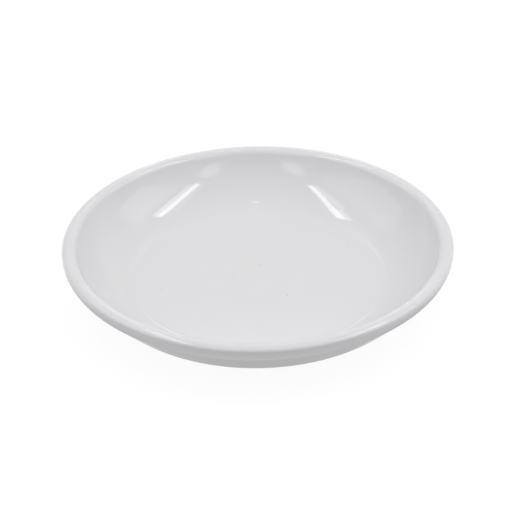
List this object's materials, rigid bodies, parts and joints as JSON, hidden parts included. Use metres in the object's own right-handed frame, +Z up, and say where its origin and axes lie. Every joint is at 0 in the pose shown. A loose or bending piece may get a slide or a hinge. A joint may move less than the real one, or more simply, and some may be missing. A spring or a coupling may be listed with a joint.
{
  "type": "cazuela dish",
  "caption": "Round shallow glazed ceramic dish with a thick rolled lip, a hollow curved wall, a flat floor and a bare foot ring, for baking and serving food.",
  "frame": {"origin": "middle of the foot ring, on the plane the dish stands on", "axes": "+Z up along the axis of the dish; the dish is round, so +X and +Y are any two level directions, with -Y towards the picture's camera"},
  "size_m": [0.16, 0.16, 0.0255],
  "materials": {
    "clay": "bare fired clay, matt",
    "glaze": "glossy white glaze"
  },
  "bodies": {
    "root": {"clay_body": "clay", "glaze_coat": "glaze", "base_glaze": "glaze"}
  },
  "joints": []
}
